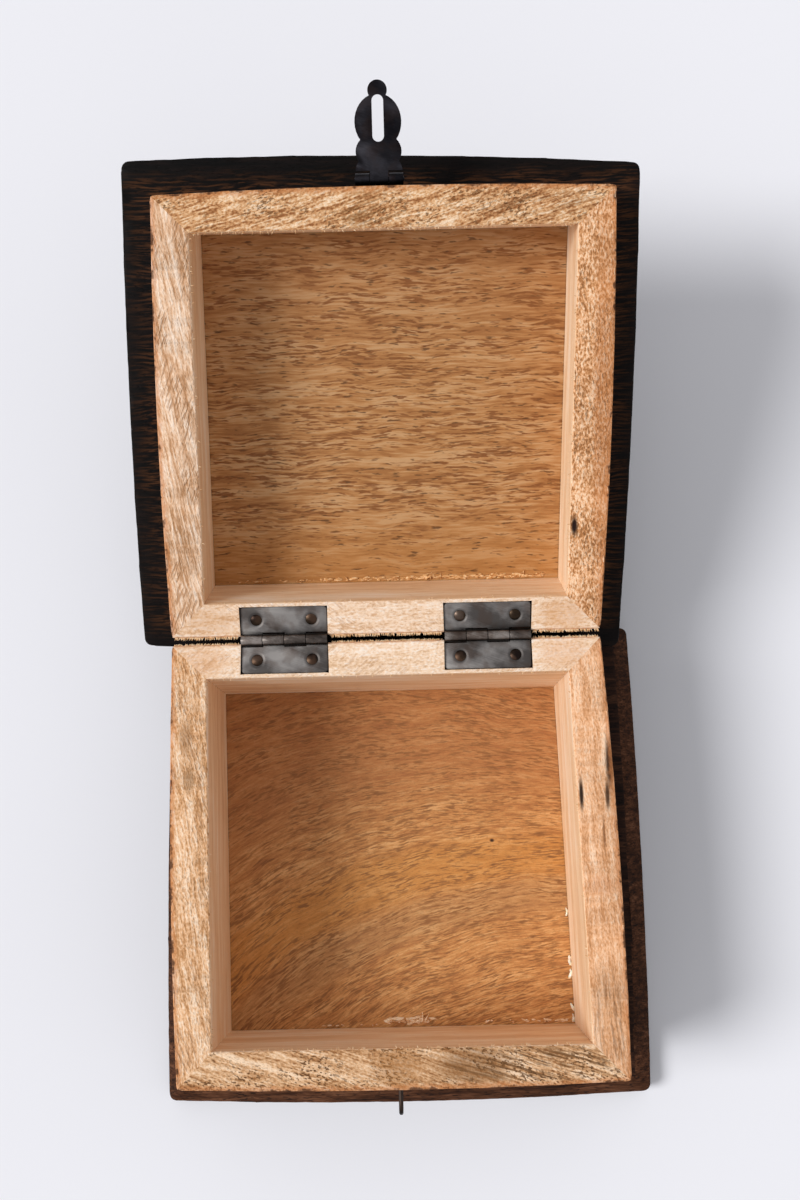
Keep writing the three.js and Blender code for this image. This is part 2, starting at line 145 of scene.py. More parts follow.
def grain_space(tree, body, across, slant=0.0):
    """Object coordinates in millimetres, turned so that X runs along the grain.

    across says that the grain runs front to back, and slant leans it, in degrees. The lid's
    coordinates are turned back to where it is shut."""
    turn = TO_SHUT[body]
    local = add(tree, "Mapping", {
        "Vector": add(tree, "TexCoord", out=3),
        "Location": turn.translation / MM,
        "Rotation": turn.to_euler(),
        "Scale": (1 / MM,) * 3})
    angle = math.radians(slant - (90 if across else 0))
    return add(tree, "Mapping", {"Vector": local, "Rotation": (0, 0, angle)})


def wandering(tree, grain, over, reach):
    """The grain pushed aside by up to reach = (along, across, through), in millimetres."""
    push = add(tree, "TexNoise", {"Vector": grain, "Scale": 1 / over, "Detail": 1.0}, out=1)
    return add(tree, "VectorMath", {0: push, 1: reach, 2: grain}, operation="MULTIPLY_ADD")


def streaks(tree, grain, size, seed, mask=None, detail=2.0, roughness=0.5):
    """Chance streaks about size = (along, across, through) millimetres, from 0 to 1.

    mask = (low, high, strength) leaves nothing of those under low, and strength over high."""
    moved = add(tree, "Mapping", {
        "Vector": grain,
        "Location": (seed * 37.7, seed * 19.3, seed * 11.9),
        "Scale": tuple(1 / s for s in size)})
    value = add(tree, "TexNoise", {
        "Vector": moved, "Scale": 1.0, "Detail": detail, "Roughness": roughness})
    if mask:
        low, high, strength = mask
        value = add(tree, "MapRange", {0: value, 1: low, 2: high, 4: strength},
                    interpolation_type="SMOOTHSTEP")
    return value


def summed(tree, *parts):
    """The sum of the products of (value, weight) pairs."""
    total = None
    for value, weight in parts:
        if total is None:
            total = add(tree, "Math", {0: value, 1: weight}, operation="MULTIPLY")
        else:
            total = add(tree, "Math", {0: value, 1: weight, 2: total}, operation="MULTIPLY_ADD")
    return total


def layered(tree, ground, *layers):
    """(colour, how much) layers, each laid over what is below it."""
    for colour, amount in layers:
        ground = add(tree, "Mix", {0: amount, 6: ground, 7: colour}, data_type="RGBA", out=2)
    return ground


def spot(tree, place, centre, half_size):
    """1 in the middle of an oval and 0 outside it, soft at the edge. All sizes in millimetres."""
    scale = (1 / half_size[0], 1 / half_size[1], 0)
    offset = (-centre[0] * scale[0], -centre[1] * scale[1], 0)
    moved = add(tree, "Mapping", {"Vector": place, "Location": offset, "Scale": scale})
    away = add(tree, "VectorMath", {0: moved}, operation="LENGTH", out=1)
    return add(tree, "MapRange", {0: away, 1: 1.0, 2: CORE}, interpolation_type="SMOOTHSTEP")


def banded(tree, value, middle, half_width, strength):
    """The strength in the middle of a band of values, falling softly to 0 at its edges."""
    away = add(tree, "Math", {0: summed(tree, (value, 1.0), (-middle, 1.0))}, operation="ABSOLUTE")
    return add(tree, "MapRange", {0: away, 1: half_width, 2: half_width * CORE, 4: strength},
               interpolation_type="SMOOTHSTEP")


def sawn_mango(name, body, across, seed, tones, slant, pits, strokes, patches, stroke_angle=60,
               pit_shade="#8A6138", grains=(0.26, 0.34, 0.4), fibre_length=5.5, torn=0.45):
    """Mango wood left as the saw cut it, on the rims.

    The teeth tear the fibres, so the eye sees a pale crumbly fuzz with pits darkened by painted
    shade, and strokes across it in places. Stain from the outside has soaked in along the outer arris.

    slant and stroke_angle turn the grain and the strokes, in degrees. pits and strokes say how
    strong they are. grains weighs the broad figure, the fibres and the crumbs against each other,
    and torn is how deep the saw tore, in millimetres."""
    material, tree = blank(name)
    place = grain_space(tree, body, False)
    grain = grain_space(tree, body, across, slant)
    fibres = wandering(tree, grain, 16, (0, 2, 2))
    figure = streaks(tree, fibres, (fibre_length * 4, 2.6, 2.6), seed)
    fibre = streaks(tree, fibres, (fibre_length, 0.8, 0.8), seed + 1, detail=3, roughness=0.6)
    crumb = streaks(tree, grain, (1.1, 0.65, 0.65), seed + 2, roughness=0.55)
    value = summed(tree, (figure, grains[0]), (fibre, grains[1]), (crumb, grains[2]))
    colour = add(tree, "ValToRGB", {0: value}, stops=zip((0.41, 0.475, 0.53, 0.6), tones))

    # The pits are sunk in the relief and darkened with painted shade.
    pit = streaks(tree, fibres, (1.3, 0.65, 0.65), seed + 3, (0.55, 0.66, 1.0), detail=1)
    crowd = streaks(tree, grain, (15, 8, 8), seed + 4, (0.38, 0.6, pits), detail=1)
    pit = summed(tree, (pit, crowd))

    stroked = grain_space(tree, body, False, stroke_angle)
    stroke = streaks(tree, stroked, (6, 0.7, 0.7), seed + 5, (0.52, 0.64, 1.0), detail=1)
    where = streaks(tree, grain, (20, 10, 10), seed + 6, (0.46, 0.58, strokes), detail=1)
    stroke = summed(tree, (stroke, where))
    colour = layered(tree, colour, (pit_shade, pit), ("#B5835A", stroke))

    streak = streaks(tree, fibres, (fibre_length * 2, 0.9, 0.9), seed + 7, (0.46, 0.6, 1.0))
    for (x, y), half_size, tint, strength, streaky in patches:
        # A row places its patch on the squared box. The real one runs over to the right in front.
        centre = (x + SKEW * (OUTSIDE[body][1] / MM - y), y)
        amount = summed(tree, (spot(tree, place, centre, half_size), strength))
        if streaky:
            amount = summed(tree, (amount, streak))
        colour = layered(tree, colour, (tint, amount))

    # The stain thins out twice, at a distance in millimetres that noise makes ragged.
    edge = add(tree, "Attribute", attribute_name="from_outside", out=2)
    ragged = summed(
        tree, (edge, 1.0), (streaks(tree, place, (5, 5, 5), seed + 8, detail=3, roughness=0.65), 3.4))
    soaked = add(tree, "MapRange", {0: ragged, 1: 3.4, 2: 1.8, 4: 0.6}, interpolation_type="SMOOTHSTEP")
    dark = add(tree, "MapRange", {0: ragged, 1: 1.8, 2: 1.3, 4: 0.85}, interpolation_type="SMOOTHSTEP")
    colour = layered(tree, colour, ("#CC8450", soaked), ("#4A2C1B", dark))

    height = summed(tree, (crumb, 1.0), (fibre, 0.7), (pit, -0.6), (stroke, -0.5))
    coated(tree, colour, 0.9, height, torn, **{"Specular IOR Level": 0.2})
    return material


def planed_mango(name, body, across, seed):
    """Planed mango wood, on the inner faces. The plane leaves it smooth, so the eye sees fine pale
    streaks along the wall, a few short pores and a dull shine."""
    material, tree = blank(name)
    grain = wandering(tree, grain_space(tree, body, across), 40, (0, 4, 4))
    figure = streaks(tree, grain, (70, 5, 5), seed)
    fibre = streaks(tree, grain, (14, 0.8, 0.8), seed + 1, detail=3, roughness=0.6)
    value = summed(tree, (figure, 0.55), (fibre, 0.45))
    colour = add(tree, "ValToRGB", {0: value}, stops=[
        (0.38, "#E3BA90"), (0.47, "#EFCAA2"), (0.54, "#F5D7B5"), (0.62, "#FAE4CC")])
    pore = streaks(tree, grain, (5, 0.4, 0.4), seed + 2, (0.66, 0.76, 0.45), detail=1)
    colour = layered(tree, colour, ("#A6744A", pore))
    height = summed(tree, (fibre, 0.5), (pore, -0.8))
    coated(tree, colour, 0.55, height, 0.05, **{"Specular IOR Level": 0.35})
    return material


def lid_floor_mango():
    """The lid board inside the frame: flat-sawn mango wood, sanded and left bare.

    The eye sees short dark pores lying side by side across a tan ground, fewer and more golden
    towards the hinges."""
    material, tree = blank("sanded_mango_lid_board")
    grain = grain_space(tree, "lid", False)
    fibres = wandering(tree, grain, 18, (0, 3.4, 0))
    ground = streaks(tree, fibres, (30, 3.6, 3.6), 11)
    fibre = streaks(tree, fibres, (7, 0.7, 0.7), 12, detail=2)
    value = summed(tree, (ground, 0.5), (fibre, 0.5))
    colour = add(tree, "ValToRGB", {0: value}, stops=[
        (0.4, "#B47C46"), (0.47, "#CF965B"), (0.53, "#E0AA70"), (0.6, "#F0C28C")])
    depth = add(tree, "SeparateXYZ", {0: grain}, out=1)
    golden = add(tree, "MapRange", {0: depth, 1: -46, 2: -16}, interpolation_type="SMOOTHSTEP")
    greyish = add(tree, "MapRange", {0: depth, 1: -80, 2: -130, 4: 0.25}, interpolation_type="SMOOTHSTEP")
    colour = layered(tree, colour, ("#D69A52", summed(tree, (golden, 0.45))), ("#A87A50", greyish))
    dash = streaks(tree, fibres, (5.6, 0.8, 0.8), 13, (0.44, 0.62, 0.95), detail=2)
    crowd = streaks(tree, grain, (34, 5, 5), 15, (0.3, 0.55, 1.0), detail=2)
    crowd = summed(tree, (crowd, 1.0), (golden, -0.5))
    fine = streaks(tree, fibres, (3.6, 0.45, 0.45), 14, (0.5, 0.66, 0.6), detail=1)
    bold = streaks(tree, fibres, (4.5, 0.85, 0.85), 16, (0.6, 0.72, 0.85), detail=2)
    pore = add(tree, "Math", {0: summed(tree, (dash, crowd), (fine, crowd))}, operation="MAXIMUM")
    colour = layered(tree, colour, ("#845127", pore), ("#5C3A1C", bold))
    height = summed(tree, (fibre, 0.4), (pore, -0.7), (bold, -0.8))
    coated(tree, colour, 0.6, height, 0.1, **{"Specular IOR Level": 0.3})
    return material


def base_floor_mango():
    """The base board inside the box: mango wood from near the heart of the log, so the grain rises
    from the left and bends flat towards the right, in short brown strokes with an ochre ring
    across it."""
    material, tree = blank("sanded_mango_base_board")
    grain = grain_space(tree, "tray", False)
    shoved = wandering(tree, grain, 22, (0, 4, 0))
    x = add(tree, "SeparateXYZ", {0: shoved}, out=0)
    y = add(tree, "SeparateXYZ", {0: shoved}, out=1)
    # The strokes follow the lines where this sum, in millimetres, is the same.
    xy, xx = summed(tree, (x, y)), summed(tree, (x, x))
    ring = summed(tree, (y, 1.0), (x, -0.25), (xy, 0.004), (xx, 0.002))
    bent = add(tree, "CombineXYZ", {0: x, 1: ring})
    ground = streaks(tree, bent, (22, 3.2, 1), 21)
    fibre = streaks(tree, bent, (4.5, 0.7, 1), 22, detail=4, roughness=0.65)
    value = summed(tree, (ground, 0.42), (fibre, 0.58))
    colour = add(tree, "ValToRGB", {0: value}, stops=[
        (0.38, "#A66D3E"), (0.46, "#C0844C"), (0.53, "#CE9459"), (0.61, "#DFAA70")])
    reddish = add(tree, "MapRange", {0: ring, 1: 4, 2: 40, 4: 0.55}, interpolation_type="SMOOTHSTEP")
    colour = layered(
        tree, colour,
        ("#A3673C", reddish),
        ("#CB8A3E", banded(tree, ring, -6, 14, 0.5)),
        ("#A98258", banded(tree, ring, -24, 11, 0.32)))
    dash = streaks(tree, bent, (3.6, 0.62, 1), 23, (0.48, 0.63, 0.9), detail=2)
    crowd = streaks(tree, bent, (14, 5, 1), 24, (0.32, 0.58, 1.0), detail=1)
    bold = streaks(tree, bent, (5.5, 0.8, 1), 25, (0.58, 0.72, 0.7), detail=2)
    speck = streaks(tree, grain, (0.9, 0.7, 0.7), 26, (0.55, 0.7, 0.25), detail=1)
    fleck = spot(tree, grain, (37.5, 5.5), (1.2, 0.9))
    colour = layered(
        tree, colour,
        ("#8E5E34", summed(tree, (dash, crowd))), ("#7C512E", bold), ("#8E5E34", speck), ("#3A2414", fleck))
    height = summed(tree, (fibre, 0.4), (dash, -0.6), (bold, -0.4), (speck, -0.2))
    coated(tree, colour, 0.58, height, 0.08, **{"Specular IOR Level": 0.3})
    return material


def stained_mango(name, body, across, seed, tones, roughness=0.6, bare=None):
    """Mango wood under a dark brown stain, wiped on by hand. The open pores take more of it, so the
    eye sees near-black streaks along the grain with brown wood showing thinly between them.

    bare gives the brown that shows in streaks beside the frame, where the cloth wiped it thin."""
    material, tree = blank(name)
    grain = grain_space(tree, body, across)
    fibres = wandering(tree, grain, 20, (0, 4, 4))
    figure = streaks(tree, fibres, (26, 1.7, 1.7), seed, roughness=0.6)
    cloud = streaks(tree, grain, (28, 16, 16), seed + 1)
    fibre = streaks(tree, fibres, (6, 0.55, 0.55), seed + 2, detail=3, roughness=0.6)
    value = summed(tree, (figure, 0.42), (cloud, 0.26), (fibre, 0.32))
    colour = add(tree, "ValToRGB", {0: value}, stops=zip((0.4, 0.47, 0.54, 0.62), tones))
    if bare:
        beside = add(tree, "Attribute", attribute_name="from_frame", out=2)
        beside = summed(tree, (beside, 1.0), (cloud, 9.0))
        beside = add(tree, "MapRange", {0: beside, 1: 14.5, 2: 4.5}, interpolation_type="SMOOTHSTEP")
        streak = streaks(tree, fibres, (11, 0.8, 0.8), seed + 4, (0.43, 0.66, 0.85), detail=3)
        colour = layered(tree, colour, (bare, summed(tree, (beside, streak))))
    pore = streaks(tree, fibres, (2.6, 0.5, 0.5), seed + 3, (0.58, 0.7, 0.8), detail=1)
    colour = layered(tree, colour, ("#0C0807", pore))
    height = summed(tree, (fibre, 0.6), (pore, -0.8))
    coated(tree, colour, roughness, height, 0.1, **{"Specular IOR Level": 0.08})
    return material


def antique_steel(name, tones, roughness, brown, brown_colour="#4E3A2E", nails=(), rolled=False):
    """Sheet or wire steel, darkened by a chemical finish and rubbed in use. The eye sees smooth dark
    grey metal that pales in broad clouds, with a thin brown bloom and a few fine scratches.

    brown says how strong the bloom is. nails gives the tops of nail heads: hammering dished the
    sheet round each, and a ring of painted shade darkens each dish. rolled is for the hinge barrel,
    which gets painted shade low on its sides."""
    material, tree = blank(name)
    space = grain_space(tree, "tray", False, 20)
    cloud = streaks(tree, space, (13, 9, 9), 41)
    speck = streaks(tree, space, (1.6, 1.6, 1.6), 42, detail=3, roughness=0.6)
    scratch = streaks(tree, space, (10, 0.3, 0.3), 43)
    value = summed(tree, (cloud, 0.74), (speck, 0.13), (scratch, 0.13))
    colour = add(tree, "ValToRGB", {0: value}, stops=zip((0.4, 0.5, 0.6), tones))
    bloom = streaks(tree, space, (5, 5, 5), 44, (0.46, 0.66, brown), detail=3)
    colour = layered(tree, colour, (brown_colour, bloom))
    # Painted shade on the barrel: it darkens from 1.8 mm above the hinge axis down to 0.9 mm above it, and
    # stays dark below.
    if rolled:
        level = add(tree, "SeparateXYZ", {0: add(tree, "TexCoord", out=3)}, out=2)
        shade_starts, shade_full = HINGE.z + 1.8 * MM, HINGE.z + 0.9 * MM
        painted_shade = add(tree, "MapRange", {0: level, 1: shade_starts, 2: shade_full, 4: 0.9})
        colour = layered(tree, colour, ("#0F0C0A", painted_shade))
    # The specks are 0.5 on average, so half their share is taken off the roughness.
    dulled = summed(tree, (bloom, 0.25), (speck, 0.12), (roughness - 0.06, 1.0))
    height = summed(tree, (speck, 0.03), (scratch, 0.02), (bloom, 0.02))
    dish_edge, dish_foot = 3.0 * MM, 1.9 * MM
    # Each dish is sunk in the relief and darkened with a ring of painted shade.
    for nail in nails:
        away = add(tree, "VectorMath", {0: add(tree, "TexCoord", out=3), 1: nail},
                   operation="DISTANCE", out=1)
        dish_and_shade = add(tree, "MapRange", {0: away, 1: dish_edge, 2: dish_foot},
                   interpolation_type="SMOOTHSTEP")
        colour = layered(tree, colour, (tones[0], summed(tree, (dish_and_shade, 0.6))))
        height = summed(tree, (height, 1.0), (dish_and_shade, -1.0))
    coated(tree, colour, dulled, height, 0.3, **{"Metallic": 1.0})
    return material


def dried_glue():
    """White wood glue that was squeezed out and dried. The eye sees a pale, slightly clear bead."""
    material, tree = blank("dried_wood_glue")
    space = grain_space(tree, "tray", False)
    lump = streaks(tree, space, (1.4, 1.4, 1.4), 51)
    colour = add(tree, "ValToRGB", {0: lump}, stops=[(0.35, "#EAD9BC"), (0.65, "#FBF3E2")])
    coated(tree, colour, 0.3, lump, 0.1, **{"Subsurface Weight": 0.2, "Subsurface Scale": 0.0006})
    return material


def torn_mango(name, body, tones):
    """Mango fibres and crumbs torn loose by the saw. Broken ends scatter the light, so they look
    paler than the wood they come from. Paler tones still, where they are given, are painted light."""
    material, tree = blank(name)
    grain = grain_space(tree, body, False)
    fibre = streaks(tree, grain, (2.2, 0.5, 0.5), 53, detail=3)
    colour = add(tree, "ValToRGB", {0: fibre}, stops=zip((0.36, 0.5, 0.64), tones))
    coated(tree, colour, 0.85, fibre, 0.15, **{"Specular IOR Level": 0.25})
    return material


# Pieces.

def select_only(piece):
    """Selects one piece and makes it the active one."""
    for other in bpy.context.selected_objects:
        other.select_set(False)
    piece.select_set(True)
    bpy.context.view_layer.objects.active = piece


def copied(node):
    """A copy of a CAD node's mesh, merged, for a piece that is finished here and stands for it."""
    piece = bpy.data.objects.new(node + "_finished", frame["nodes"][node].data.copy())
    bpy.context.scene.collection.objects.link(piece)
    piece.data.materials.clear()
    select_only(piece)
    bpy.ops.mesh.customdata_custom_splitnormals_clear()
    bpy.ops.object.mode_set(mode="EDIT")
    bpy.ops.mesh.select_all(action="SELECT")
    bpy.ops.mesh.remove_doubles(threshold=0.002 * MM)
    bpy.ops.mesh.select_all(action="SELECT")
    bpy.ops.mesh.dissolve_limited(angle_limit=math.radians(0.1))
    bpy.ops.object.mode_set(mode="OBJECT")
    return piece


def pick_faces(piece, wanted):
    """Selects, in edit mode, only the faces whose middle and normal pass the test."""
    bpy.ops.mesh.select_mode(type="FACE")
    bpy.ops.mesh.select_all(action="DESELECT")
    mesh = bmesh.from_edit_mesh(piece.data)
    for face in mesh.faces:
        if wanted(face.calc_center_median(), face.normal):
            face.select_set(True)
    bmesh.update_edit_mesh(piece.data)


def anywhere(co, normal):
    """The test that every face passes."""
    return True


def surfaced(piece, finishes):
    """Gives each (material, test) pair its faces; a later pair takes over from an earlier one."""
    bpy.ops.object.mode_set(mode="EDIT")
    for index, (material, wanted) in enumerate(finishes):
        piece.data.materials.append(material)
        piece.active_material_index = index
        pick_faces(piece, wanted)
        bpy.ops.object.material_slot_assign()
    bpy.ops.object.mode_set(mode="OBJECT")


def cut_across(places, direction):
    """Cuts all faces, in edit mode, square to a direction and at each place along it."""
    for place in places:
        bpy.ops.mesh.select_all(action="SELECT")
        bpy.ops.mesh.bisect(plane_co=direction * place, plane_no=direction)


def stepped(low, high, step):
    """Places from low to high, about a step apart and never quite even."""
    uneven = 0.3
    places, place = [], low + step
    while place < high - step / 2:
        places.append(place + chance.uniform(-uneven, uneven) * step)
        place += step
    return places


def worn(piece, depth, size, skipped=lambda co: False, sharper_than=35):
    """Wears the arrises inwards unevenly, up to the depth and in dents about the size given."""
    select_only(piece)
    bpy.ops.object.mode_set(mode="EDIT")
    bpy.ops.mesh.select_mode(type="EDGE")
    bpy.ops.mesh.select_all(action="DESELECT")
    bpy.ops.mesh.edges_select_sharp(sharpness=math.radians(sharper_than))
    mesh = bmesh.from_edit_mesh(piece.data)
    arrises = [v.index for v in mesh.verts if v.select and not skipped(v.co)]
    bpy.ops.object.mode_set(mode="OBJECT")
    group = piece.vertex_groups.new(name="arris")
    group.add(arrises, 1.0, "REPLACE")
    grit = bpy.data.textures.new(piece.name + "_wear", "CLOUDS")
    grit.noise_scale, grit.noise_depth = size, 2
    wear = piece.modifiers.new("wear", "DISPLACE")
    wear.texture, wear.texture_coords, wear.direction = grit, "LOCAL", "NORMAL"
    wear.vertex_group, wear.strength, wear.mid_level = "arris", depth, 1.0
    bpy.ops.object.modifier_apply(modifier="wear")
    piece.vertex_groups.clear()


def measured(piece, name, distance):
    """Keeps a distance in millimetres at each point, for a material to read."""
    kept = piece.data.attributes.new(name, "FLOAT", "POINT")
    kept.data.foreach_set("value", [distance(v.co) / MM for v in piece.data.vertices])


def riding(piece, body, smooth=30):
    """Shades a finished piece and hands it to its body."""
    select_only(piece)
    bpy.ops.object.shade_smooth_by_angle(angle=math.radians(smooth))
    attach(piece, body)


def walled(node, side, body, rim_material, inner_material, outer_material):
    """A wall or rail: the rim sawn, the inside planed and the outside stained."""
    outside, rim, up = OUTSIDE[body], RIM[body], UP[body]
    middle = (outside[0] + outside[1]) / 2
    half_depth = outside[1] - middle
    side_wall = side in ("left", "right")
    sign = 1 if side in ("right", "back") else -1
    outwards = Vector((sign, 0, 0)) if side_wall else Vector((0, sign, 0))
    bow = 0 if side == "back" else WALL_BOW
    half = BODY_HALF if side_wall else half_depth

    def from_outside(co):
        level, along = (co.x, co.y - middle) if side_wall else (co.y - middle, co.x)
        return max(0.0, half + bow * (1 - (along / BODY_HALF) ** 2) - abs(level))

    def on_mitre(co):
        in_from_side, in_from_end = BODY_HALF - abs(co.x), half_depth - abs(co.y - middle)
        return abs(in_from_side - in_from_end) < 0.4 * MM

    def on_inner_face(co, normal):
        return normal.dot(outwards) < -0.8

    def in_mortise(co, normal):
        return (side == "back" and up * (rim - co.z) > 0.6 * MM and not on_inner_face(co, normal)
                and abs(abs(co.x) - HINGE_OUT) < LEAF_HALF + 0.5 * MM)

    piece = copied(node)
    piece.data.transform(TO_SQUARE[body])
    bpy.ops.object.mode_set(mode="EDIT")
    # The mitres were glued up tight, so the two pieces are drawn longer until they all but meet.
    pick_faces(piece, lambda co, normal: on_mitre(co) and abs(normal.x) > 0.6 and abs(normal.y) > 0.6)
    longer = 1.0026
    bpy.ops.transform.resize(
        value=(1, longer, 1) if side_wall else (longer, 1, 1), center_override=(0, middle, 0))
    x_way, y_way, z_way = Vector((1, 0, 0)), Vector((0, 1, 0)), Vector((0, 0, 1))
    along, through = (y_way, x_way) if side_wall else (x_way, y_way)
    cut_across([rim - up * depth * MM for depth in (0.5, 1.6)], z_way)
    inner = (half - WALL_THICKNESS + 0.5 * MM) * sign + (0 if side_wall else middle)
    cut_across([inner], through)
    length = outside if side_wall else (-BODY_HALF, BODY_HALF)
    cut_across(stepped(*length, RIM_STEP), along)
    bpy.ops.object.mode_set(mode="OBJECT")
    # The outer arris beside the hinges stayed crisp, and the stain reached less far in there.
    crisp = side == "back"
    stain_reach = (-0.7 if crisp else 0.6) * MM
    worn(piece, RIM_WEAR, RIM_GRIT, lambda co: on_mitre(co) or abs(co.z - rim) > 1.3 * MM
         or (crisp and from_outside(co) < 1 * MM))
    measured(piece, "from_outside", lambda co: max(0.0, from_outside(co) - stain_reach))
    surfaced(piece, [
        (outer_material, anywhere),
        (inner_material, on_inner_face),
        (rim_material, lambda co, normal: abs(co.z - rim) < 4 * MM and not on_inner_face(co, normal)
         and (normal.z * up > 0.4 or from_outside(co) > 1.5 * MM)),
        # The mortises take the dark outer stain as painted shade, for the shadow that the rim casts round
        # the sunk leaves.
        (outer_material, in_mortise),
    ])
    piece.data.transform(TO_SQUARE[body].inverted())
    riding(piece, body)
    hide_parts(node)


def boarded(node, body, floor_material, flat_material, bevel_material, edge_material):
    """A board: bare inside the frame, stained round it."""
    inside, outside, inner_z = INSIDE[body], OUTSIDE[body], FLOOR[body]
    middle = (outside[0] + outside[1]) / 2
    piece = copied(node)
    piece.data.transform(TO_SQUARE[body])
    (left, front), (right, back) = (
        [end(v.co[axis] for v in piece.data.vertices) for axis in (0, 1)] for end in (min, max))
    bare_x = CAVITY_HALF + WALL_THICKNESS / 2
    bare_y = (inside[0] - WALL_THICKNESS / 2, inside[1] + WALL_THICKNESS / 2)
    bpy.ops.object.mode_set(mode="EDIT")
    cut_across([-bare_x, bare_x, *stepped(left, right, BOARD_STEP)], Vector((1, 0, 0)))
    cut_across([*bare_y, *stepped(front, back, BOARD_STEP)], Vector((0, 1, 0)))
    bpy.ops.object.mode_set(mode="OBJECT")
    worn(piece, BOARD_WEAR, BOARD_GRIT, sharper_than=22)
    # The cloth wiped the stain further out along the grain, so the way sideways counts for less.
    sideways, half_depth = 0.55, outside[1] - middle
    measured(piece, "from_frame", lambda co: max(
        0.0, sideways * (abs(co.x) - BODY_HALF), abs(co.y - middle) - half_depth))
    surfaced(piece, [
        (edge_material, anywhere),
        (flat_material, lambda co, normal: abs(normal.z) > 0.95),
        (bevel_material, lambda co, normal: 0.3 < normal.z < 0.95),
        (floor_material, lambda co, normal: abs(co.z - inner_z) < 0.3 * MM and abs(normal.z) > 0.9
         and abs(co.x) < bare_x and bare_y[0] < co.y < bare_y[1]),
    ])
    piece.data.transform(TO_SQUARE[body].inverted())
    riding(piece, body)
    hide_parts(node)


def head_of(nail, body):
    """The top of a nail's head, which faces the other rim when the box is shut."""
    corners = [v.co for v in frame["nodes"][nail].data.vertices]
    return max(corners, key=lambda co: UP[body] * (TO_SHUT[body] @ co).z)


def metal(node, body, slot, width, *finishes, smooth=35):
    """A metal piece with its sharp edges rounded a little, as tumbling leaves them."""
    piece = copied(node)
    if width:
        rounding = piece.modifiers.new("rounded edges", "BEVEL")
        rounding.width, rounding.segments, rounding.angle_limit = width, 2, math.radians(40)
        bpy.ops.object.modifier_apply(modifier=rounding.name)
    surfaced(piece, finishes)
    riding(piece, body, smooth)
    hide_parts(node)


def torn_fibre():
    """One fibre, 1 mm long and standing up from its root. It tapers and curls over at the tip."""
    bpy.ops.object.select_all(action="DESELECT")
    bpy.ops.mesh.primitive_cylinder_add(
        vertices=5, radius=0.13 * MM, depth=1 * MM, location=(0, 0, 0.5 * MM))
    fibre = bpy.context.active_object
    bpy.ops.object.transform_apply()
    bpy.ops.object.mode_set(mode="EDIT")
    cut_across([0.4 * MM, 0.75 * MM], Vector((0, 0, 1)))
    for height, thinner, curl in ((0.3, 0.85, 0.05), (0.7, 0.6, 0.14), (0.95, 0.4, 0.2)):
        bpy.ops.mesh.select_mode(type="VERT")
        bpy.ops.mesh.select_all(action="DESELECT")
        mesh = bmesh.from_edit_mesh(fibre.data)
        for vertex in mesh.verts:
            vertex.select_set(vertex.co.z > height * MM)
        bmesh.update_edit_mesh(fibre.data)
        bpy.ops.transform.resize(value=(thinner, thinner, 1))
        bpy.ops.transform.translate(value=(curl * MM, 0, 0))
    bpy.ops.object.mode_set(mode="OBJECT")
    return fibre


def torn_crumb():
    """One crumb, 1 mm across: a ball flattened, dented and cut off where it lies."""
    bpy.ops.object.select_all(action="DESELECT")
    bpy.ops.mesh.primitive_ico_sphere_add(subdivisions=2, radius=0.5 * MM)
    crumb = bpy.context.active_object
    bpy.ops.object.mode_set(mode="EDIT")
    bpy.ops.mesh.select_all(action="SELECT")
    bpy.ops.transform.vertex_random(offset=0.16 * MM, seed=4)
    bpy.ops.mesh.select_all(action="SELECT")
    bpy.ops.transform.resize(value=(1.25, 0.8, 0.7))
    bpy.ops.mesh.bisect(
        plane_co=(0, 0, -0.12 * MM), plane_no=(0, 0, 1), use_fill=True, clear_inner=True)
    bpy.ops.object.mode_set(mode="OBJECT")
    return crumb


def scattered(name, model, places, material, body):
    """Copies of one small model, each with its own mesh at its own place, joined into one piece."""
    copies = []
    for number, place in enumerate(places):
        mesh = model.data.copy()
        mesh.transform(place)
        if place.is_negative:
            # The lid's crumbs are mirrored ones, so their faces are turned to point outwards again.
            mesh.flip_normals()
        copies.append(bpy.data.objects.new(f"{name}_{number}", mesh))
        bpy.context.scene.collection.objects.link(copies[-1])
    select_only(copies[0])
    for copy in copies:
        copy.select_set(True)
    bpy.ops.object.join()
    piece = bpy.context.active_object
    piece.name = name
    piece.data.transform(TO_SQUARE[body].inverted())
    piece.data.materials.append(material)
    riding(piece, body, smooth=50)


def placed(point, tilt, turn, size):
    """The place of a copy that is sized, tilted over, turned and then moved to the point."""
    return (Matrix.Translation(point) @ Euler((0, tilt, turn)).to_matrix().to_4x4()
            @ Matrix.Diagonal((*size, 1)))


def fibres_along(side, body, count):
    """Fibres that the saw tore at the inner arris of a rim, lying over the cavity."""
    inside, rim, up = INSIDE[body], RIM[body], UP[body]
    side_wall = side in ("left", "right")
    sign = 1 if side in ("right", "back") else -1
    turn = {"left": 0, "right": math.pi, "front": math.pi / 2, "back": -math.pi / 2}[side]
    places = []
    for _ in range(count):
        if side_wall:
            x, y = sign * CAVITY_HALF, chance.uniform(inside[0] + 1 * MM, inside[1] - 1 * MM)
        else:
            x = chance.uniform(-CAVITY_HALF + 1 * MM, CAVITY_HALF - 1 * MM)
            y = inside[1 if side == "back" else 0]
        level = rim - up * chance.uniform(0.35, 0.8) * MM
        tilt = math.radians(90 + up * chance.uniform(0, 22))
        thick, length = chance.uniform(0.7, 1.5), chance.uniform(0.45, 1.1)
        places.append(placed((x, y, level), tilt, turn + chance.uniform(-0.9, 0.9), (thick, thick, length)))
    return places


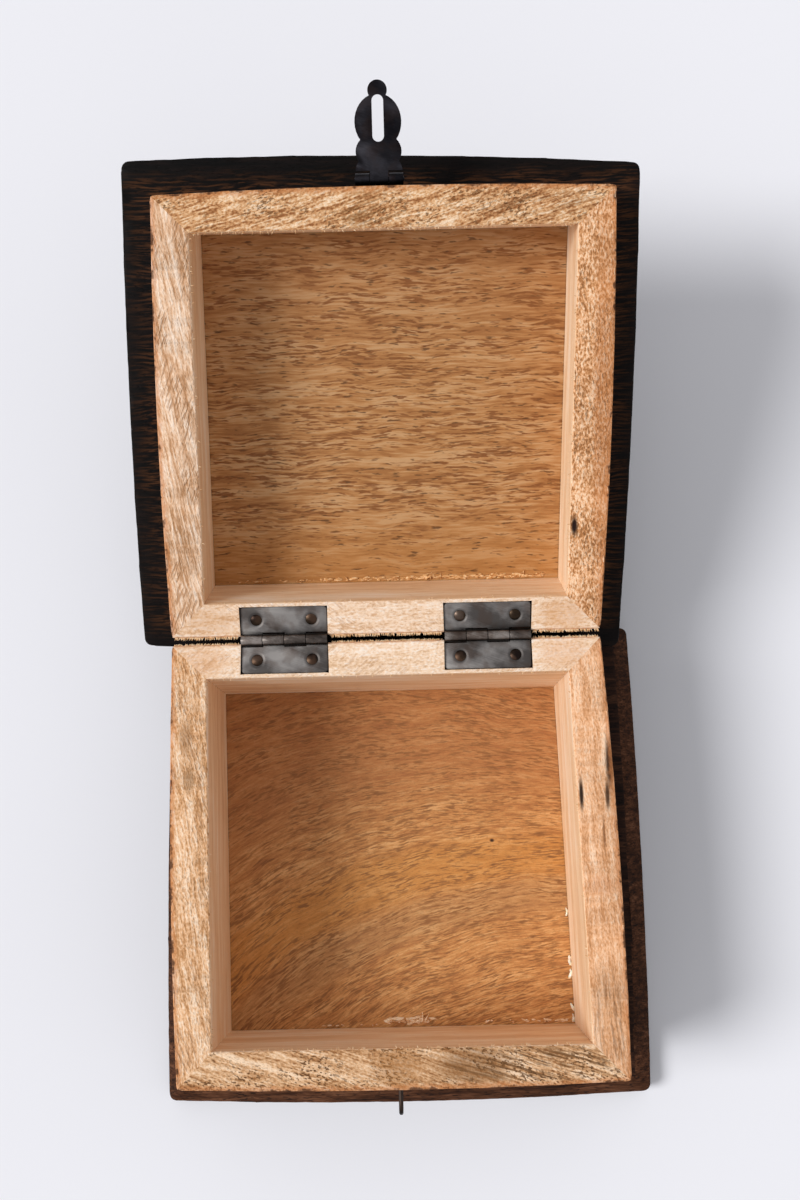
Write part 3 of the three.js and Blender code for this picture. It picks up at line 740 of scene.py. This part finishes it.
def fringed_back(body, count):
    """Torn fibres standing out from the back arris of a rim, beside and between the hinges."""
    places = []
    while len(places) < count:
        x = chance.uniform(-BODY_HALF + 1 * MM, BODY_HALF - 1 * MM)
        level = RIM[body] - UP[body] * chance.uniform(0.25, 0.6) * MM
        tilt = math.radians(90 + UP[body] * chance.uniform(-5, 12))
        thick, length = chance.uniform(1.2, 2.4), chance.uniform(0.6, 0.98)
        if abs(abs(x) - HINGE_OUT) > LEAF_HALF + 1 * MM:
            places.append(placed((x, OUTSIDE[body][1] - 0.1 * MM, level), tilt,
                                 math.pi / 2 + chance.uniform(-0.6, 0.6), (thick, thick, length)))
    return places


def crumbs_along(start, end, count, z, up, size, turn=0.0, spread=0.0, height=1.0):
    """Crumbs lying on a floor along a wall, and spread out from it by up to the spread."""
    places = []
    for _ in range(count):
        point = Vector((*Vector(start).lerp(Vector(end), chance.random()), z))
        point.y += up * spread * chance.random()
        grow = size * chance.uniform(0.5, 1.2)
        shape = (grow * chance.uniform(0.8, 2.4), grow * chance.uniform(0.6, 1.1),
                 grow * height * up * chance.uniform(0.7, 1.5))
        places.append(placed(point, chance.uniform(-0.2, 0.2), turn + chance.uniform(-0.5, 0.5), shape))
    return places


def shavings_along(start, end, count, z, up, longest):
    """Curls of torn wood lying on a floor, out from the corner below a wall."""
    places = []
    for _ in range(count):
        point = (*Vector(start).lerp(Vector(end), chance.random()), z + up * chance.uniform(0.2, 0.7) * MM)
        turn = -chance.uniform(0, math.pi)
        thick, length = chance.uniform(2.5, 5), chance.uniform(0.3, 0.7) * longest
        tilt = -up * math.radians(chance.uniform(40, 90))
        places.append(placed(point, tilt, turn, (thick * 1.3, thick * 0.8, length)))
    return places


DARK = ("#0B0807", "#1B120E", "#2E1D15", "#4B2F20")
BLACK = ("#040303", "#0A0706", "#110B0A", "#1B120D")
BROWN = ("#2A160D", "#412617", "#553422", "#704A34")
UMBER = ("#160D09", "#261610", "#382218", "#523525")

# The outer faces of walls and rails, by body and by whether the grain runs front to back.
outer = {(body, across): stained_mango(f"stained_mango_{body}_{direction}", body, across, seed, DARK)
         for body, first in (("tray", 61), ("lid", 65))
         for seed, (across, direction) in enumerate(((False, "ends"), (True, "sides")), start=first)}
boarded("base_board", "tray", base_floor_mango(),
        stained_mango("stained_mango_base_board", "tray", False, 69, UMBER),
        stained_mango("stained_mango_base_bevel", "tray", False, 71, BROWN),
        stained_mango("stained_mango_base_edge", "tray", False, 73, DARK))
boarded("lid_board", "lid", lid_floor_mango(),
        stained_mango("stained_mango_lid_board", "lid", False, 75, BLACK, bare="#5E3A22"),
        stained_mango("stained_mango_lid_bevel", "lid", False, 77, BLACK, 0.55),
        stained_mango("stained_mango_lid_edge", "lid", False, 79, BLACK))

# How each rim was sawn: its tones from the pits to the fuzz, and what stands out on it. A patch is
# its middle (x, y) and half its size (x, y) in millimetres, with the lid as it lies when shut, then
# its colour, its strength, and whether it breaks into streaks.
# GREY tints patches; the second colour darkens the pits of the front rims with painted shade.
GREY, PIT_SHADE_DEEP = "#73502F", "#66411F"
RIMS = {
    ("tray", "front"): dict(
        tones=("#9C6A40", "#CE9D70", "#EABF95", "#FDDDBC"), slant=17, pits=0.9, pit_shade=PIT_SHADE_DEEP,
        strokes=0.0, fibre_length=9, grains=(0.34, 0.4, 0.26),
        patches=[((-2, -67), (12, 9), "#AE7743", 0.6, False),
                 ((23, -67), (18, 9), "#8C5F36", 0.65, False),
                 ((50, -67), (30, 9), GREY, 0.9, True), ((26, -68), (18, 6), GREY, 0.7, True)]),
    ("tray", "back"): dict(
        tones=("#E0B892", "#F4D2B1", "#FBDDC1", "#FFEDDB"), slant=-3, pits=0.15, strokes=0.3,
        stroke_angle=-42, torn=0.3,
        patches=[((-64, 69), (14, 8), "#DDA270", 0.4, False), ((62, 69), (14, 8), "#E3A674", 0.4, False)]),
    ("tray", "left"): dict(
        tones=("#BE895A", "#E2B083", "#F1C69E", "#FDE0C3"), slant=-9, pits=0.35, strokes=0.6,
        stroke_angle=68, grains=(0.22, 0.44, 0.34),
        patches=[((-70.5, 43), (3.4, 8), "#A47A55", 0.6, False),
                 ((-69.5, 28), (2.8, 6), "#9C744F", 0.6, False),
                 ((-76, 27), (1.4, 2), "#2E1E16", 0.9, False), ((-76, 9), (1, 3), "#3E2A1E", 0.9, False)]),
    ("tray", "right"): dict(
        tones=("#CE9263", "#E8AF82", "#F4C198", "#FDD6B4"), slant=-3, pits=0.2, strokes=0.2,
        stroke_angle=0, torn=0.35, grains=(0.36, 0.3, 0.34),
        patches=[((74.9, 31), (2.0, 13), "#3B281D", 1.0, False),
                 ((73.4, 20), (1.1, 7), "#4A3222", 0.95, False),
                 ((71.4, 7), (0.6, 8), "#8A5B3A", 0.7, False),
                 ((64.5, 20.5), (1.1, 8), "#33241B", 1.0, False),
                 ((69, -10), (7, 5), "#D59468", 0.4, False),
                 ((69, -50), (9, 20), "#B9855A", 0.35, False),
                 ((69, -54), (9, 24), "#7E5332", 0.5, True)]),
    ("lid", "front"): dict(
        tones=("#965F36", "#CC9463", "#EABC8D", "#FEE0BF"), slant=15, pits=0.75, pit_shade=PIT_SHADE_DEEP,
        strokes=0.2, fibre_length=7, grains=(0.26, 0.4, 0.34),
        patches=[((-4, -143), (14, 9), "#7F572F", 0.6, True),
                 ((50, -144), (26, 6), "#5C3D25", 0.35, True)]),
    ("lid", "back"): dict(
        tones=("#DCB08A", "#F3D0AF", "#FBDDC2", "#FFECDA"), slant=4, pits=0.15, strokes=0.35,
        stroke_angle=-40, torn=0.3,
        patches=[((-62, -7), (14, 8), "#CF9A68", 0.4, False), ((62, -7), (13, 8), "#D99E68", 0.5, False)]),
    ("lid", "left"): dict(
        tones=("#C08F67", "#E2B793", "#F2CFB0", "#FDE4CE"), slant=9, pits=0.2, strokes=0.7, stroke_angle=68,
        fibre_length=7, grains=(0.34, 0.48, 0.18),
        patches=[((-70, -38), (7, 30), "#A9794F", 0.75, True)]),
    ("lid", "right"): dict(
        tones=("#AE7446", "#D99E6C", "#EFB88B", "#FDD7B2"), slant=4, pits=0.6, pit_shade="#7A5231",
        strokes=0.0, fibre_length=2.5, grains=(0.2, 0.15, 0.65),
        patches=[((73, -75), (4.5, 95), "#C77F4B", 0.5, False),
                 ((64.6, -38), (1.6, 4.8), "#26140E", 1.0, False)]),
}
for number, ((body, side), look) in enumerate(RIMS.items(), start=1):
    side_wall = side in ("left", "right")
    rim = sawn_mango(f"sawn_mango_{body}_{side}", body, side_wall, number, **look)
    planed = planed_mango(f"planed_mango_{body}_{side}", body, side_wall, number + 30)
    walled(f"{WALL[body]}_{side}", side, body, rim, planed, outer[body, side_wall])

heads = [head_of(f"{hinge}_{part}_nail_{number}", body)
         for hinge in HINGES for body, part in PART.items() for number in (1, 2)]
leaf_steel = antique_steel(
    "antique_steel_leaf", ("#4E4A47", "#6F6B68", "#86827E"), 0.52, 0.3, nails=heads)
# The knuckles and pins take a darker, browner copy of the leaf's steel: painted shade where the barrel
# curves away from the light.
shaded_knuckle_steel = antique_steel(
    "antique_steel_knuckle_shaded", ("#38322E", "#5E5650", "#958D86"), 0.28, 0.3, rolled=True)
nail_steel = antique_steel("browned_steel_nail", ("#1F1815", "#34291F", "#54473E"), 0.32, 0.6)
hasp_iron = antique_steel("blackened_iron_hasp", ("#131215", "#1F1E21", "#2F2E32"), 0.5, 0.24, "#2E211B")


def at_knuckle(co, normal):
    """Whether a face is on the knuckles, which are rolled round the hinge axis."""
    return math.hypot(co.y - HINGE.y, co.z - HINGE.z) < BARREL_RADIUS + 0.02 * MM


for hinge in HINGES:
    for body, part in PART.items():
        metal(f"{hinge}_{part}_leaf", body, "hinge_steel", SHEET_ROUNDING, (leaf_steel, anywhere),
              (shaded_knuckle_steel, at_knuckle), smooth=25)
        for number in (1, 2):
            metal(f"{hinge}_{part}_nail_{number}", body, "nail_steel", 0, (nail_steel, anywhere))
    metal(f"{hinge}_pin", "tray", "hinge_steel", 0, (shaded_knuckle_steel, anywhere))
staple_iron = antique_steel(
    "blackened_iron_staple", ("#120E0C", "#211A17", "#3B312B"), 0.5, 0.3, "#2E211B")
black_iron = (hasp_iron, anywhere)
metal("hasp_plate", "lid", "hasp_iron", SHEET_ROUNDING, black_iron)
metal("hasp_leaf", "hasp", "hasp_iron", HASP_ROUNDING, black_iron)
metal("hasp_pin", "lid", "hasp_iron", 0, black_iron)
for number in (1, 2):
    metal(f"hasp_nail_{number}", "lid", "hasp_iron", 0, black_iron)
metal("staple", "tray", "hasp_iron", 0, (staple_iron, anywhere), smooth=50)

# What the saw and the glue left behind.
fibre, crumb = torn_fibre(), torn_crumb()
torn = {body: torn_mango(f"torn_mango_{body}", body, ("#C7935F", "#E6BE90", "#F6DDBC"))
        for body in ("tray", "lid")}
# The tray's crumbs get paler tones than the fibres: painted light, as for crumbs lying in full light.
loose = {"tray": torn_mango("loose_mango_tray_painted_light", "tray", ("#D2A070", "#F2D0A8", "#FFEBD2")),
         "lid": torn_mango("loose_mango_lid", "lid", ("#A8703E", "#D8A268", "#F2D0A2"))}
# How many fibres hang from each rim, and how many stand along the gap between the rims.
fringe = 420
for body, in_front in (("tray", 80), ("lid", 90)):
    counts = {"front": in_front, "back": 45, "left": 30, "right": 30}
    places = [place for side, count in counts.items() for place in fibres_along(side, body, count)]
    scattered(f"torn_fibres_{body}", fibre, places + fringed_back(body, fringe), torn[body], body)

# Crumbs and shavings at the foot of the tray's front wall and of the lid's back rail: from, to,
# how many crumbs, their size, how many shavings, how long, and how far from the wall. All
# lengths are in millimetres.
for body, corner_y, rows in (
        ("tray", INSIDE["tray"][0],
         ((-6, 11, 26, 1.9, 12, 6, 1.7), (-30, -7, 6, 0.6, 1, 2, 0.9), (30, 62, 20, 1.0, 2, 2, 1.0))),
        ("lid", INSIDE["lid"][1],
         ((-24, 8, 40, 1.3, 5, 3, 0.7), (8, 58, 90, 1.5, 9, 3, 0.8), (-60, -24, 18, 0.8, 2, 2, 0.8)))):
    crumbs, shavings = [], []
    for start, end, count, size, curls, longest, out in rows:
        line = [(x * MM, corner_y + UP[body] * out * MM) for x in (start, end)]
        crumbs += crumbs_along(*line, count, FLOOR[body], UP[body], size, spread=0.7 * size * MM)
        shavings += shavings_along(*line, curls, FLOOR[body], UP[body], longest)
    scattered(f"torn_crumbs_{body}", crumb, crumbs, loose[body], body)
    scattered(f"torn_shavings_{body}", fibre, shavings, loose[body], body)

# Beads of glue along the foot of the right wall, flatter than crumbs.
glue_x = CAVITY_HALF - 0.5 * MM
beads = []
for start, end, count in ((-44, -37, 6), (-22, -20, 2), (-60, -55, 4)):
    line = [(glue_x, y * MM) for y in (start, end)]
    beads += crumbs_along(*line, count, FLOOR["tray"], UP["tray"], 1.3, math.pi / 2, height=0.8)
scattered("glue_beads", crumb, beads, dried_glue(), "tray")
for model in (fibre, crumb):
    bpy.data.objects.remove(model)


# Studio.

def studio():
    """A pale table, a broad soft light from the left and even light from all round."""
    bpy.ops.object.select_all(action="DESELECT")
    bpy.ops.mesh.primitive_plane_add(size=8, location=(0, 0, -0.02 * MM))
    floor = bpy.context.active_object
    floor.name = "table"
    material, tree = blank("pale_table")
    smudge = add(tree, "TexNoise", {"Vector": add(tree, "TexCoord", out=3), "Scale": 3.0})
    colour = add(tree, "ValToRGB", {0: smudge}, stops=[(0.3, "#EEEEF3"), (0.7, "#F2F2F7")])
    coated(tree, colour, 0.9, smudge, 0.0, **{"Specular IOR Level": 0.1})
    floor.data.materials.append(material)

    world = bpy.data.worlds.new("studio")
    bpy.context.scene.world = world
    world.use_nodes = True
    tree = world.node_tree
    tree.nodes.clear()
    # It lights the box evenly, and looks as pale as the table where it is seen or mirrored.
    even_light = (0.5, 0.5, 0.51, 1)
    seen = 0.0
    for ray in ("Is Camera Ray", "Is Glossy Ray", "Is Transmission Ray"):
        seen = add(tree, "Math", {0: seen, 1: add(tree, "LightPath", out=ray)}, operation="MAXIMUM")
    colour = layered(tree, even_light, ("#EFEFF4", seen))
    add(tree, "OutputWorld", {"Surface": add(tree, "Background", {"Color": colour})})

    lamp = bpy.data.lights.new("window", "SUN")
    lamp.energy, lamp.angle = 2.3, math.radians(24)
    window = bpy.data.objects.new("window", lamp)
    towards_window = Vector((-0.78, -0.1, 0.72))
    window.rotation_euler = towards_window.to_track_quat("Z", "Y").to_euler()
    bpy.context.scene.collection.objects.link(window)


def camera():
    """The photograph's camera, looking down on the open box, as fitted to the box's corners."""
    lens = bpy.data.cameras.new("camera")
    lens.lens, lens.sensor_width = 38.61, 36
    eye = bpy.data.objects.new("camera", lens)
    to_right = (0.99973, -0.0217, -0.00884)
    upwards = (0.02294, 0.98332, 0.18045)
    backwards = (0.00477, -0.1806, 0.98354)
    eye.rotation_euler = Matrix((to_right, upwards, backwards)).transposed().to_euler()
    eye.location = Vector((2.74, 7.71, 502.62)) * MM
    bpy.context.scene.collection.objects.link(eye)
    bpy.context.scene.camera = eye


studio()
camera()
bpy.context.scene.view_settings.view_transform = "Standard"
